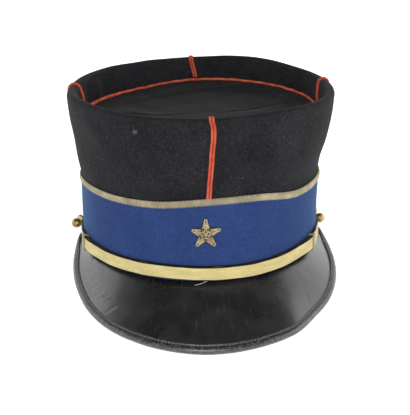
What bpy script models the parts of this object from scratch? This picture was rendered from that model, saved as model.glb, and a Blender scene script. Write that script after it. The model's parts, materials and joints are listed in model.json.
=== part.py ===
"""Kepi cap: wool crown with a sunk top, blue band, piping, star, chin strap and a patent peak.

Sizes are in millimetres in the cap's own frame: X to the wearer's left, the front toward -Y,
Z up from the crown's bottom edge. The finished cap is then leaned back onto a flat surface,
so that it stands on its peak's edge and on the back of its crown.
"""
from math import asin, atan2, cos, pi, radians, sin, sqrt, tan

import bmesh
import bpy
from mathutils import Matrix, Vector

for thing in list(bpy.data.objects):
    bpy.data.objects.remove(thing, do_unlink=True)

# Head opening and crown
HALF_WIDTH = 82.85
HALF_LENGTH = 100.1
WALL = 2.0
TOP_HALF_WIDTH = HALF_WIDTH + 9.05
TOP_HALF_LENGTH = HALF_LENGTH + 7.0
TOP_SHIFT_X = 1.4
TOP_SHIFT_Y = -14.0
SEGMENTS = 64
GAP = 0.3

# Every 30 degrees from the right side round by the back: height, plan and width of the rolled rim,
# then the sunk top's edge height and how far in from the side it starts
RIM_HEIGHT = [110.6, 111.2, 114.1, 112.8, 111.8, 112.4, 111.8, 113.2, 112.3, 112.3, 113.4, 111.5]
RIM_PLAN = [1.008, 1.008, 1.004, 0.992, 1.020, 1.012, 1.006, 1.003, 0.997, 0.998, 0.998, 1.0]
RIM_WIDE = [6.5, 5.2, 4.6, 4.6, 5.5, 7.5, 7.5, 5.5, 4.6, 4.6, 4.6, 5.5]
TOP_EDGE = [90.5, 93.2, 94.8, 94.4, 91.8, 90.6, 91.0, 93.5, 94.3, 94.6, 95.2, 93.0]
TOP_INSET = [4.0, 3.6, 5.0, 4.0, 8.5, 6.5, 6.5, 4.2, 3.6, 3.6, 3.6, 3.6]

# How far the wall has flared out at each share of its height
FLARE = [
    dict(share=0.00, left=0.00, right=0.00),
    dict(share=0.25, left=0.00, right=0.00),
    dict(share=0.42, left=0.04, right=0.10),
    dict(share=0.56, left=0.35, right=0.26),
    dict(share=0.70, left=0.55, right=0.61),
    dict(share=0.86, left=0.86, right=0.86),
    dict(share=1.00, left=1.00, right=1.00),
]
WALL_ROWS = [0.0, 0.14, 0.28, 0.42, 0.50, 0.56, 0.63, 0.70, 0.78, 0.86, 0.93]
ROLL_STEPS = 5

# Top
TOP_THICK = 1.8
TOP_TUCK = 2.4
TOP_RINGS = [1.0, 0.92, 0.84, 0.77, 0.70, 0.63, 0.55, 0.40, 0.20]
DENT = dict(x=8.0, y=24.0, half_wide=62.0, half_deep=45.0, turn=8.0, depth=2.6)

# Band and braid
BAND_THICK = 1.0
BAND_FOOT = 0.6
BRAID_TALL = 4.8
BRAID_THICK = 1.4
BRAID_LINE = [47.5, 46.8, 46.3, 46.0, 45.8, 46.0, 46.2, 46.4,
              46.9, 49.2, 49.9, 51.4, 54.7, 54.4, 49.3, 48.7]

# Piping
PIPING_WIDE = 3.3
PIPING_THICK = 1.2
CORD = 2.2

# Peak
PEAK_THICK = 2.0
PEAK_ARC = 93.0
PEAK_TURN = 0.9
PEAK_BULGE = 0.8
PEAK_STEPS = 42
BINDING_THICK = 0.8
BINDING_LIP = 5.8
LEAN = 7.8
PEAK = [
    dict(turn=0, left=52.8, right=52.6, lift=0.0),
    dict(turn=5, left=52.4, right=52.2, lift=0.0),
    dict(turn=15, left=49.8, right=49.9, lift=0.0),
    dict(turn=25, left=45.8, right=46.5, lift=0.0),
    dict(turn=35, left=41.0, right=39.8, lift=0.0),
    dict(turn=45, left=34.8, right=34.6, lift=0.8),
    dict(turn=55, left=27.5, right=28.4, lift=2.2),
    dict(turn=65, left=20.5, right=21.4, lift=4.0),
    dict(turn=75, left=12.9, right=13.2, lift=7.0),
    dict(turn=85, left=6.0, right=5.8, lift=9.6),
    dict(turn=95, left=2.8, right=2.8, lift=10.0),
]

# Chin strap
STRAP_WIDE = 9.6
STRAP_END_WIDE = 6.0
TAPER_FROM = 72.0
STRAP_THICK = 1.2
OVER_WIDE = 9.0
OVER_THICK = 1.0
BUTTON_TURN = 94.0
TAB_END = 101.5
TAB_CURL = 6.0
OVER_LEFT = -72.0
OVER_RIGHT = 61.5
SLIDE_LEFT = -69.0
SLIDE_RIGHT = 58.5
SLIDE_WIDE = 2.4
SLIDE_THICK = 0.6
SLIDE_PLAY = 0.35
SLIDE_LIFT = 1.1
STRAP_LINE = [
    dict(turn=-106, z=7.0),
    dict(turn=-94, z=7.5),
    dict(turn=-80, z=7.6),
    dict(turn=-65, z=7.4),
    dict(turn=-50, z=6.6),
    dict(turn=-34, z=6.6),
    dict(turn=-17, z=6.7),
    dict(turn=0, z=6.1),
    dict(turn=17, z=5.7),
    dict(turn=34, z=6.3),
    dict(turn=50, z=7.8),
    dict(turn=65, z=8.6),
    dict(turn=80, z=7.8),
    dict(turn=94, z=5.6),
    dict(turn=106, z=8.0),
]

# Buttons and star
BALL = 3.6
BALL_NECK = 1.65
BALL_NECK_TALL = 0.6
COLLAR = 2.4
STAR_RADIUS = 10.8
STAR_WAIST = 0.43
STAR_HEIGHT = 32.7
STAR_SHIFT = -1.3
STAR_EDGE = 0.9
STAR_CROWN = 2.3

COLOURS = {
    "crown": (0.016, 0.017, 0.020, 0.95),
    "top_disc": (0.016, 0.017, 0.020, 0.95),
    "band": (0.030, 0.062, 0.190, 0.92),
    "band_braid": (0.330, 0.300, 0.230, 0.60),
    "piping_front": (0.480, 0.060, 0.030, 0.85),
    "piping_back": (0.480, 0.060, 0.030, 0.85),
    "piping_left": (0.480, 0.060, 0.030, 0.85),
    "piping_right": (0.480, 0.060, 0.030, 0.85),
    "disc_piping": (0.480, 0.060, 0.030, 0.85),
    "peak": (0.012, 0.013, 0.015, 0.22),
    "peak_binding": (0.016, 0.016, 0.018, 0.40),
    "strap_under": (0.620, 0.500, 0.230, 0.55),
    "strap_over": (0.620, 0.500, 0.230, 0.55),
    "slide_left": (0.620, 0.500, 0.230, 0.55),
    "slide_right": (0.620, 0.500, 0.230, 0.55),
    "button_left": (0.620, 0.460, 0.170, 0.32),
    "button_right": (0.620, 0.460, 0.170, 0.32),
    "star": (0.600, 0.480, 0.210, 0.50),
}


def between(rows, key, value, x):
    """Smooth reading of a column of a table at x."""
    xs = [row[key] for row in rows]
    vs = [row[value] for row in rows]
    if x <= xs[0]:
        return vs[0]
    if x >= xs[-1]:
        return vs[-1]
    i = max(k for k in range(len(xs) - 1) if xs[k] <= x)
    step = xs[i + 1] - xs[i]
    t = (x - xs[i]) / step

    def slope(k):
        low, high = max(k - 1, 0), min(k + 1, len(xs) - 1)
        return (vs[high] - vs[low]) / (xs[high] - xs[low])

    return ((2 * t ** 3 - 3 * t ** 2 + 1) * vs[i] + (t ** 3 - 2 * t ** 2 + t) * step * slope(i)
            + (3 * t ** 2 - 2 * t ** 3) * vs[i + 1] + (t ** 3 - t ** 2) * step * slope(i + 1))


def around(values, deg):
    """Smooth reading of values spaced evenly round a full turn."""
    n = len(values)
    d = (deg % 360.0) / (360.0 / n)
    i = int(d)
    t = d - i
    p0, p1, p2, p3 = values[i - 1], values[i % n], values[(i + 1) % n], values[(i + 2) % n]
    return 0.5 * (2 * p1 + (p2 - p0) * t + (2 * p0 - 5 * p1 + 4 * p2 - p3) * t ** 2
                  + (3 * p1 - p0 - 3 * p2 + p3) * t ** 3)


def outward(deg):
    """Level direction straight out from the crown's side."""
    t = radians(deg)
    return Vector((HALF_LENGTH * cos(t), HALF_WIDTH * sin(t), 0.0)).normalized()


def rim_z(deg):
    return around(RIM_HEIGHT, deg)


def roll_radius(deg):
    return around(RIM_WIDE, deg) / 2


def edge_z(deg):
    """Height of the sunk top's edge."""
    return around(TOP_EDGE, deg)


def edge_in(deg):
    """How far in from the crown's side the doubled wall stands where it meets the sunk top."""
    return around(TOP_INSET, deg)


def side(deg, z, out=0.0):
    """Point on the crown's outer face at this turn and height, moved out."""
    t = radians(deg)
    share = z / rim_z(deg)
    mix = 0.5 + 0.5 * cos(t)
    flare = (between(FLARE, "share", "left", share) * (1 - mix)
             + between(FLARE, "share", "right", share) * mix)
    plan = around(RIM_PLAN, deg)
    x = (HALF_WIDTH + (TOP_HALF_WIDTH * plan - HALF_WIDTH) * flare) * cos(t) + TOP_SHIFT_X * flare
    y = (HALF_LENGTH + (TOP_HALF_LENGTH * plan - HALF_LENGTH) * flare) * sin(t) + TOP_SHIFT_Y * flare
    return Vector((x, y, z)) + outward(deg) * out


def turns(count, first=0.0):
    return [first + 360.0 * k / count for k in range(count)]


def body(name, corners, faces):
    """One closed piece from corner points and faces."""
    mesh = bpy.data.meshes.new(name)
    mesh.from_pydata([tuple(c) for c in corners], [], faces)
    work = bmesh.new()
    work.from_mesh(mesh)
    bmesh.ops.remove_doubles(work, verts=work.verts, dist=0.0001)
    bmesh.ops.triangulate(work, faces=work.faces)
    bmesh.ops.recalc_face_normals(work, faces=work.faces)
    work.to_mesh(mesh)
    work.free()
    piece = bpy.data.objects.new(name, mesh)
    bpy.context.scene.collection.objects.link(piece)
    r, g, b, rough = COLOURS[name]
    look = bpy.data.materials.new(name)
    look.use_nodes = True
    shader = look.node_tree.nodes["Principled BSDF"]
    shader.inputs["Base Color"].default_value = (r, g, b, 1.0)
    shader.inputs["Roughness"].default_value = rough
    if name.startswith("button"):
        shader.inputs["Metallic"].default_value = 1.0
    mesh.materials.append(look)
    return piece


def loft(name, sections, closed):
    """Skin a row of matching closed sections; an open row gets flat ends."""
    count = len(sections[0])
    corners = [point for section in sections for point in section]
    last = len(sections) if closed else len(sections) - 1
    faces = []
    for i in range(last):
        a = i * count
        b = ((i + 1) % len(sections)) * count
        for k in range(count):
            m = (k + 1) % count
            faces.append((a + k, a + m, b + m, b + k))
    if not closed:
        faces.append(tuple(range(count)))
        faces.append(tuple(range((len(sections) - 1) * count, len(sections) * count)))
    return body(name, corners, faces)


# Crown: outer wall, rolled rim and the doubled inner face down to the top
def skin(deg):
    """The crown's outer face from its foot, over the rim, to the sunk top: point and direction."""
    high = rim_z(deg)
    n = outward(deg)
    up = Vector((0.0, 0.0, 1.0))
    radius = roll_radius(deg)
    path = [(side(deg, high * share), n) for share in WALL_ROWS]
    middle = side(deg, high - radius, -radius)
    for k in range(ROLL_STEPS + 1):
        turn = pi * k / ROLL_STEPS
        direction = n * cos(turn) + up * sin(turn)
        path.append((middle + direction * radius, direction))
    path.append((side(deg, edge_z(deg), -edge_in(deg)), -n))
    return path


def crown_section(deg):
    high = rim_z(deg)
    outer = [point for point, _ in skin(deg)]
    inner = [side(deg, edge_z(deg), -WALL)]
    for share in reversed(WALL_ROWS):
        if share < 0.80:
            inner.append(side(deg, high * share, -WALL))
    return outer + inner


loft("crown", [crown_section(d) for d in turns(SEGMENTS)], True)


# Sunk top with its oval dent
LEVEL = sum(TOP_EDGE) / len(TOP_EDGE)


def top_z(x, y, deg, share):
    """Height of the sunk top: its own edge's outside, one level and the dent inside."""
    z = LEVEL + (edge_z(deg) - LEVEL) * min(1.0, share / 0.92) ** 2 - GAP
    t = radians(DENT["turn"])
    u = ((x - DENT["x"]) * cos(t) + (y - DENT["y"]) * sin(t)) / DENT["half_wide"]
    v = ((y - DENT["y"]) * cos(t) - (x - DENT["x"]) * sin(t)) / DENT["half_deep"]
    inside = max(0.0, min(1.0, (1.04 - sqrt(u * u + v * v)) / 0.35))
    return z - DENT["depth"] * inside * inside * (3 - 2 * inside)


def top_disc():
    corners, faces = [], []
    for lower in (0.0, TOP_THICK):
        for share in TOP_RINGS:
            for deg in turns(SEGMENTS):
                edge = side(deg, edge_z(deg) - GAP - lower, -TOP_TUCK)
                x = TOP_SHIFT_X + (edge.x - TOP_SHIFT_X) * share
                y = TOP_SHIFT_Y + (edge.y - TOP_SHIFT_Y) * share
                corners.append(Vector((x, y, top_z(x, y, deg, share) - lower)))
    rings = len(TOP_RINGS)
    for level in (0, 1):
        first = level * rings * SEGMENTS
        for r in range(rings - 1):
            for k in range(SEGMENTS):
                m = (k + 1) % SEGMENTS
                a = first + r * SEGMENTS
                faces.append((a + k, a + m, a + SEGMENTS + m, a + SEGMENTS + k))
        middle = top_z(TOP_SHIFT_X, TOP_SHIFT_Y, 0, 0.0)
        corners.append(Vector((TOP_SHIFT_X, TOP_SHIFT_Y, middle - level * TOP_THICK)))
    for level in (0, 1):
        centre = 2 * rings * SEGMENTS + level
        a = (level * rings + rings - 1) * SEGMENTS
        for k in range(SEGMENTS):
            faces.append((a + k, a + (k + 1) % SEGMENTS, centre))
    for k in range(SEGMENTS):
        m = (k + 1) % SEGMENTS
        under = rings * SEGMENTS
        faces.append((k, m, under + m, under + k))
    body("top_disc", corners, faces)


top_disc()


# Blue band and the braid along its top
def braid_z(deg):
    return around(BRAID_LINE, deg)


def band_section(deg):
    top = braid_z(deg) - BRAID_TALL / 2 - GAP
    heights = [BAND_FOOT, top * 0.4, top * 0.75, top]
    outer = [side(deg, z, GAP + BAND_THICK) for z in heights]
    inner = [side(deg, z, GAP) for z in reversed(heights)]
    return outer + inner


def braid_section(deg):
    z = braid_z(deg)
    low, high = z - BRAID_TALL / 2, z + BRAID_TALL / 2
    return [side(deg, low, GAP), side(deg, low + 0.3, GAP + BRAID_THICK * 0.8), side(deg, z, GAP + BRAID_THICK),
            side(deg, high - 0.3, GAP + BRAID_THICK * 0.8), side(deg, high, GAP)]


loft("band", [band_section(d) for d in turns(SEGMENTS)], True)
loft("band_braid", [braid_section(d) for d in turns(SEGMENTS)], True)


# Red cord in the corner of the sunk top
def cord_section(deg):
    middle = side(deg, edge_z(deg), -(edge_in(deg) + GAP + CORD / 2))
    middle.z = edge_z(deg) + CORD / 2 + 0.1
    n = outward(deg)
    up = Vector((0.0, 0.0, 1.0))
    return [middle + (n * cos(pi * k / 3) + up * sin(pi * k / 3)) * (CORD / 2) for k in range(6)]


loft("disc_piping", [cord_section(d) for d in turns(SEGMENTS)], True)


# Red piping over the rim at the front, back and sides
# Each sway is the sideways shift at a share of the rim's height
STRAIGHT = [dict(share=0.4, shift=0.0), dict(share=1.0, shift=0.0)]
FRONT_SWAY = [dict(share=0.50, shift=0.5), dict(share=0.64, shift=0.9), dict(share=0.73, shift=1.3),
              dict(share=0.81, shift=1.4), dict(share=0.89, shift=2.0), dict(share=0.95, shift=1.8),
              dict(share=1.01, shift=0.7)]


def piping(name, deg, sway, lean):
    """A flat strip up the wall, over the rim and down to the top's cord, ending lean to one side."""
    start = braid_z(deg) + BRAID_TALL / 2 + GAP
    stop = edge_z(deg) + CORD + 0.6
    per_degree = (side(deg + 1.0, start) - side(deg, start)).length

    def moved(z):
        return deg + between(sway, "share", "shift", z / rim_z(deg)) / per_degree

    path = [(side(moved(start), start), outward(moved(start)))]
    rows = len(skin(deg))
    for k in range(rows - 1):
        z = skin(deg)[k][0].z
        if z > start + 2.0:
            path.append(skin(moved(z))[k])
    last = moved(rim_z(deg))
    foot = skin(last + lean / per_degree)[-1][0]
    brow = skin(last)[-2][0]
    path.append((brow + (foot - brow) * ((brow.z - stop) / (brow.z - foot.z)), -outward(last)))
    sections = []
    for point, direction in path:
        along = Vector((0.0, 0.0, 1.0)).cross(outward(deg))
        base = point + direction * GAP
        head = base + direction * PIPING_THICK
        half = along * (PIPING_WIDE / 2)
        sections.append([base - half, base + half, head + half * 0.8, head - half * 0.8])
    loft(name, sections, False)


piping("piping_front", 270.0, FRONT_SWAY, 0.0)
piping("piping_back", 91.0, STRAIGHT, -3.4)
piping("piping_left", 172.5, STRAIGHT, 0.0)
piping("piping_right", 9.0, STRAIGHT, 0.0)


# Peak and its edging
def peak_frame(turn):
    """Root point, level direction out, reach and slope of the peak at a turn from the front."""
    deg = turn - 90.0
    n = outward(deg)
    root = side(deg, 0.0, GAP + BAND_THICK) + Vector((0.0, 0.0, -GAP))
    reach = between(PEAK, "turn", "left" if turn < PEAK_TURN else "right", abs(turn - PEAK_TURN))
    lift = between(PEAK, "turn", "lift", abs(turn - PEAK_TURN))
    deep = PEAK_THICK + GAP + BINDING_THICK
    low, high = radians(10.0), radians(75.0)
    for _ in range(40):
        slope = (low + high) / 2
        foot = root + n * (reach * cos(slope) - deep * sin(slope))
        foot.z -= reach * sin(slope) + deep * cos(slope)
        floor = -(HALF_LENGTH - foot.y) * tan(radians(LEAN))
        if foot.z - floor > lift:
            low = slope
        else:
            high = slope
    return root, n, reach, slope


def peak_point(frame, share, over, reach=None):
    """Point at a share of the reach, raised square to the peak's slope."""
    root, n, full, slope = frame
    far = full if reach is None else reach
    ahead = n * cos(slope) - Vector((0.0, 0.0, sin(slope)))
    square = n * sin(slope) + Vector((0.0, 0.0, cos(slope)))
    bulge = PEAK_BULGE * sin(pi * share) * min(1.0, full / 40.0)
    return root + ahead * (far * share) + square * (over + bulge)


def peak_section(turn):
    frame = peak_frame(turn)
    root, n, full, slope = frame
    core = full - GAP - BINDING_THICK
    back = root - n * (GAP + BAND_THICK + WALL)
    drop = Vector((0.0, 0.0, -PEAK_THICK))
    top = [peak_point(frame, s, 0.0, core) for s in (0.0, 0.3, 0.6, 0.85, 1.0)]
    under = [peak_point(frame, s, -PEAK_THICK, core) for s in (1.0, 0.85, 0.6, 0.3)]
    bend = root - n * (PEAK_THICK * tan(slope / 2)) + drop
    return [back] + top + under + [bend, back + drop]


def binding_section(turn):
    frame = peak_frame(turn)
    full = frame[2]
    lip = min(BINDING_LIP, 0.5 * full)
    core = full - BINDING_THICK

    def at(distance, over):
        share = distance / full
        return peak_point(frame, share, over)

    over = GAP + BINDING_THICK
    return [at(full - lip, over), at(full, over), at(full, -PEAK_THICK - over), at(full - lip, -PEAK_THICK - over),
            at(full - lip, -PEAK_THICK - GAP), at(core, -PEAK_THICK - GAP), at(core, GAP), at(full - lip, GAP)]


peak_turns = [-PEAK_ARC + 2 * PEAK_ARC * k / PEAK_STEPS for k in range(PEAK_STEPS + 1)]
loft("peak", [peak_section(t) for t in peak_turns], False)
loft("peak_binding", [binding_section(t) for t in peak_turns], False)


# Chin strap, its slides and its two free ends
def strap_z(turn):
    return between(STRAP_LINE, "turn", "z", turn)


def strap_wide(turn):
    """The lower length narrows toward its buttons."""
    t = max(0.0, min(1.0, (abs(turn) - TAPER_FROM) / (BUTTON_TURN - TAPER_FROM)))
    return STRAP_WIDE - (STRAP_WIDE - STRAP_END_WIDE) * t * t * (3 - 2 * t)


def strap_stand(turn):
    """How far the strap's inner face stands off the crown's side."""
    stand = GAP + BAND_THICK + GAP
    for slide in (SLIDE_LEFT, SLIDE_RIGHT):
        near = max(0.0, min(1.0, 1.6 - abs(turn - slide) / 8.0))
        stand += SLIDE_LIFT * near * near * (3 - 2 * near)
    past = max(0.0, (abs(turn) - BUTTON_TURN - 1.5) / (TAB_END - BUTTON_TURN - 1.5))
    return stand + TAB_CURL * past ** 1.5


def strap_section(turn, wide, low, high):
    deg = turn - 90.0
    z = strap_z(turn)
    stand = strap_stand(turn)
    return [side(deg, z - wide / 2, stand + low), side(deg, z - wide / 2, stand + high),
            side(deg, z + wide / 2, stand + high), side(deg, z + wide / 2, stand + low)]


def strap_turns(first, last):
    step = 360.0 / SEGMENTS
    inner = [step * k for k in range(-20, 21) if first + 1.2 < step * k < last - 1.2]
    return [first] + inner + [last]


under = strap_turns(-BUTTON_TURN, BUTTON_TURN)
tabs = [BUTTON_TURN + (TAB_END - BUTTON_TURN) * s for s in (0.35, 0.7, 1.0)]
under = [-t for t in reversed(tabs)] + under + tabs
loft("strap_under", [strap_section(t, strap_wide(t), 0.0, STRAP_THICK) for t in under], False)
OVER_LOW = STRAP_THICK + GAP
loft("strap_over", [strap_section(t, OVER_WIDE, OVER_LOW, OVER_LOW + OVER_THICK)
                    for t in strap_turns(OVER_LEFT, OVER_RIGHT)], False)


def slide(name, turn):
    """A loop round both lengths of the strap."""
    deg = turn - 90.0
    n = outward(deg)
    up = Vector((0.0, 0.0, 1.0))
    along = n.cross(up)
    middle = side(deg, strap_z(turn), strap_stand(turn))
    half = STRAP_WIDE / 2 + SLIDE_PLAY
    low, high = -SLIDE_PLAY, OVER_LOW + OVER_THICK + SLIDE_PLAY
    sections = []
    for a, b in ((-1, -1), (1, -1), (1, 1), (-1, 1)):
        tall, deep = b * half, (high if a > 0 else low)
        inner = middle + n * deep + up * tall
        outer = inner + n * (a * SLIDE_THICK) + up * (b * SLIDE_THICK)
        wide = along * (SLIDE_WIDE / 2)
        sections.append([inner - wide, inner + wide, outer + wide, outer - wide])
    loft(name, sections, True)


slide("slide_left", SLIDE_LEFT)
slide("slide_right", SLIDE_RIGHT)


# Ball buttons
def button(name, turn):
    deg = turn - 90.0
    n = outward(deg)
    up = Vector((0.0, 0.0, 1.0))
    along = n.cross(up)
    base = side(deg, strap_z(turn), strap_stand(turn) + STRAP_THICK + GAP)
    low = -asin(sqrt(1 - (BALL_NECK / BALL) ** 2))
    neck = BALL_NECK_TALL
    middle = neck - BALL * sin(low)
    profile = [(COLLAR, 0.0), (COLLAR, 0.4), (BALL_NECK, neck)]
    profile += [(BALL * cos(low + (pi / 2 - low) * k / 7), middle + BALL * sin(low + (pi / 2 - low) * k / 7))
                for k in range(1, 7)]
    count = 16
    corners = []
    for radius, high in profile:
        for k in range(count):
            a = 2 * pi * k / count
            corners.append(base + n * high + (along * cos(a) + up * sin(a)) * radius)
    faces = []
    for r in range(len(profile) - 1):
        for k in range(count):
            m = (k + 1) % count
            faces.append((r * count + k, r * count + m, (r + 1) * count + m, (r + 1) * count + k))
    corners += [base, base + n * (middle + BALL)]
    top = (len(profile) - 1) * count
    for k in range(count):
        m = (k + 1) % count
        faces.append((k, m, len(corners) - 2))
        faces.append((top + k, top + m, len(corners) - 1))
    body(name, corners, faces)


button("button_left", -BUTTON_TURN)
button("button_right", BUTTON_TURN)


# Worked star on the band
def star():
    per_degree = HALF_WIDTH * pi / 180
    stand = GAP + BAND_THICK + GAP + 0.1

    def at(radius, angle, out):
        across, tall = radius * sin(angle), radius * cos(angle)
        return side(270.0 + (STAR_SHIFT + across) / per_degree, STAR_HEIGHT + tall, stand + out)

    corners = []
    for out, shrink in ((0.0, 1.0), (STAR_EDGE, 0.96)):
        for k in range(10):
            radius = STAR_RADIUS * (1.0 if k % 2 == 0 else STAR_WAIST) * shrink
            corners.append(at(radius, pi * k / 5, out))
    corners += [at(0.0, 0.0, 0.0), at(0.0, 0.0, STAR_CROWN)]
    faces = []
    for k in range(10):
        m = (k + 1) % 10
        faces.append((k, m, 10 + m, 10 + k))
        faces.append((k, m, 20))
        faces.append((10 + k, 10 + m, 21))
    body("star", corners, faces)


star()


# Lean the cap back onto its peak and the back of its crown, then seat it on the ground
def rest():
    pieces = list(bpy.context.scene.collection.objects)
    points = [v.co for p in pieces for v in p.data.vertices]
    lean = max(atan2(-p.z, HALF_LENGTH - p.y) for p in points if p.z < -1.0)
    turn = Matrix.Rotation(-lean, 4, "X")
    for p in pieces:
        p.data.transform(turn)
    points = [v.co for p in pieces for v in p.data.vertices]
    low = [min(p[i] for p in points) for i in range(3)]
    high = [max(p[i] for p in points) for i in range(3)]
    seat = Matrix.Translation((-(low[0] + high[0]) / 2, -(low[1] + high[1]) / 2, -low[2]))
    for p in pieces:
        p.data.transform(Matrix.Scale(0.001, 4) @ seat)
    return seat @ turn


placed = rest()
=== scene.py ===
"""Looks for the kepi cap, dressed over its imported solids.

Sizes are in millimetres in the cap's own frame, as in the part's source: X to the wearer's left,
the front toward -Y and Z up from the crown's bottom edge. to_row() leans the cap back, to stand on
its peak and the back of its foot, and turns millimetres into the row's metres.
"""
import json
import random
from math import asin, cos, exp, pi, radians, sin, sqrt, tan, tau

import bmesh
import bpy
from mathutils import Matrix, Vector, noise


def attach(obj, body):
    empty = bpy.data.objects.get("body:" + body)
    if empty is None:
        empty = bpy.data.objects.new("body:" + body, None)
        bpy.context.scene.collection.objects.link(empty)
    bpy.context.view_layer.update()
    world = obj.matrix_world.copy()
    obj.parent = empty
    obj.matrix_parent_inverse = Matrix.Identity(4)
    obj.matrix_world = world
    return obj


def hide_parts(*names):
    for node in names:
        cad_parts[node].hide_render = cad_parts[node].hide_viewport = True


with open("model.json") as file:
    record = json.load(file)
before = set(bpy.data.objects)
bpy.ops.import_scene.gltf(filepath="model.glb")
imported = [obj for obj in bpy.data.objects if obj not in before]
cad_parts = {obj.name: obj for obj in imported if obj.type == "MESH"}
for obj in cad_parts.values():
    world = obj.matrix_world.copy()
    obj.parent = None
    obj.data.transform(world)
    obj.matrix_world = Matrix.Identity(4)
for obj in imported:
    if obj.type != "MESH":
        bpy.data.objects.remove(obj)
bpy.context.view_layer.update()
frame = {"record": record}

UP = Vector((0.0, 0.0, 1.0))


def table(columns, *rows):
    """Rows of values under their column names."""
    return [dict(zip(columns.split(), row)) for row in rows]


# Sizes shared with the part's source
HALF_WIDTH = 82.85
HALF_LENGTH = 100.1
WALL = 2.0
TOP_HALF_WIDTH = HALF_WIDTH + 9.05
TOP_HALF_LENGTH = HALF_LENGTH + 7.0
TOP_SHIFT_X = 1.4
TOP_SHIFT_Y = -14.0
GAP = 0.3
RIM_HEIGHT = [110.6, 111.2, 114.1, 112.8, 111.8, 112.4, 111.8, 113.2, 112.3, 112.3, 113.4, 111.5]
RIM_PLAN = [1.008, 1.008, 1.004, 0.992, 1.020, 1.012, 1.006, 1.003, 0.997, 0.998, 0.998, 1.0]
RIM_WIDE = [6.5, 5.2, 4.6, 4.6, 5.5, 7.5, 7.5, 5.5, 4.6, 4.6, 4.6, 5.5]
TOP_EDGE = [90.5, 93.2, 94.8, 94.4, 91.8, 90.6, 91.0, 93.5, 94.3, 94.6, 95.2, 93.0]
TOP_INSET = [4.0, 3.6, 5.0, 4.0, 8.5, 6.5, 6.5, 4.2, 3.6, 3.6, 3.6, 3.6]
FLARE = table(
    "share left right",
    (0.00, 0.00, 0.00), (0.25, 0.00, 0.00), (0.42, 0.04, 0.10), (0.56, 0.35, 0.26), (0.70, 0.55, 0.61),
    (0.86, 0.86, 0.86), (1.00, 1.00, 1.00),
)
TOP_THICK = 1.8
TOP_TUCK = 2.4
BAND_THICK = 1.0
BAND_FOOT = 0.6
BRAID_TALL = 4.8
BRAID_THICK = 1.4
BRAID_LINE = [47.5, 46.8, 46.3, 46.0, 45.8, 46.0, 46.2, 46.4,
              46.9, 49.2, 49.9, 51.4, 54.7, 54.4, 49.3, 48.7]
PIPING_WIDE = 3.3
PIPING_THICK = 1.2
CORD = 2.2
PEAK_THICK = 2.0
PEAK_ARC = 93.0
PEAK_TURN = 0.9
PEAK_BULGE = 0.8
BINDING_THICK = 0.8
LEAN = 7.8
PEAK = table(
    "turn left right lift",
    (0, 52.8, 52.6, 0.0), (5, 52.4, 52.2, 0.0), (15, 49.8, 49.9, 0.0), (25, 45.8, 46.5, 0.0),
    (35, 41.0, 39.8, 0.0), (45, 34.8, 34.6, 0.8), (55, 27.5, 28.4, 2.2), (65, 20.5, 21.4, 4.0),
    (75, 12.9, 13.2, 7.0), (85, 6.0, 5.8, 9.6), (95, 2.8, 2.8, 10.0),
)
STRAP_WIDE = 9.6
STRAP_END_WIDE = 6.0
TAPER_FROM = 72.0
STRAP_THICK = 1.2
OVER_WIDE = 9.0
OVER_THICK = 1.0
BUTTON_TURN = 94.0
TAB_END = 101.5
TAB_CURL = 6.0
OVER_LEFT = -72.0
OVER_RIGHT = 61.5
SLIDE_LEFT = -69.0
SLIDE_RIGHT = 58.5
SLIDE_WIDE = 2.4
SLIDE_THICK = 0.6
SLIDE_PLAY = 0.35
SLIDE_LIFT = 1.1
STRAP_LINE = table(
    "turn z",
    (-106, 7.0), (-94, 7.5), (-80, 7.6), (-65, 7.4), (-50, 6.6), (-34, 6.6), (-17, 6.7), (0, 6.1),
    (17, 5.7), (34, 6.3), (50, 7.8), (65, 8.6), (80, 7.8), (94, 5.6), (106, 8.0),
)
BALL = 3.6
BALL_NECK = 1.65
BALL_NECK_TALL = 0.6
COLLAR = 2.4
STAR_RADIUS = 10.8
STAR_WAIST = 0.43
STAR_HEIGHT = 32.7
STAR_SHIFT = -1.3
STRAIGHT = table("share shift", (0.4, 0.0), (1.0, 0.0))
FRONT_SWAY = table(
    "share shift",
    (0.50, 0.5), (0.64, 0.9), (0.73, 1.3), (0.81, 1.4), (0.89, 2.0), (0.95, 1.8), (1.01, 0.7),
)

# Sizes of the finer work
EDGE_ROUND = 0.4
BRAID_LAP = 0.6
PLAIT_PITCH = 1.5
PLAIT_SLANT = 0.55
BINDING_LIP = 5.8
LACE_MARGIN = 0.5
RIB_PITCH = 1.02
DENT = dict(x=8.0, y=24.0, half_wide=62.0, half_deep=45.0, turn=8.0, depth=2.6)
ROUND = 384


def between(rows, key, value, x):
    """Smooth reading of a column of a table at x."""
    xs = [row[key] for row in rows]
    vs = [row[value] for row in rows]
    if x <= xs[0]:
        return vs[0]
    if x >= xs[-1]:
        return vs[-1]
    i = max(k for k in range(len(xs) - 1) if xs[k] <= x)
    step = xs[i + 1] - xs[i]
    t = (x - xs[i]) / step

    def slope(k):
        low, high = max(k - 1, 0), min(k + 1, len(xs) - 1)
        return (vs[high] - vs[low]) / (xs[high] - xs[low])

    return ((2 * t ** 3 - 3 * t ** 2 + 1) * vs[i] + (t ** 3 - 2 * t ** 2 + t) * step * slope(i)
            + (3 * t ** 2 - 2 * t ** 3) * vs[i + 1] + (t ** 3 - t ** 2) * step * slope(i + 1))


def around(values, deg):
    """Smooth reading of values spaced evenly round a full turn."""
    n = len(values)
    d = (deg % 360.0) / (360.0 / n)
    i = int(d)
    t = d - i
    p0, p1, p2, p3 = values[i - 1], values[i % n], values[(i + 1) % n], values[(i + 2) % n]
    return 0.5 * (2 * p1 + (p2 - p0) * t + (2 * p0 - 5 * p1 + 4 * p2 - p3) * t ** 2
                  + (3 * p1 - p0 - 3 * p2 + p3) * t ** 3)


def uneven(x, y, z):
    """Smooth unevenness from -1 to 1."""
    return noise.noise(Vector((x, y, z)))


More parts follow.
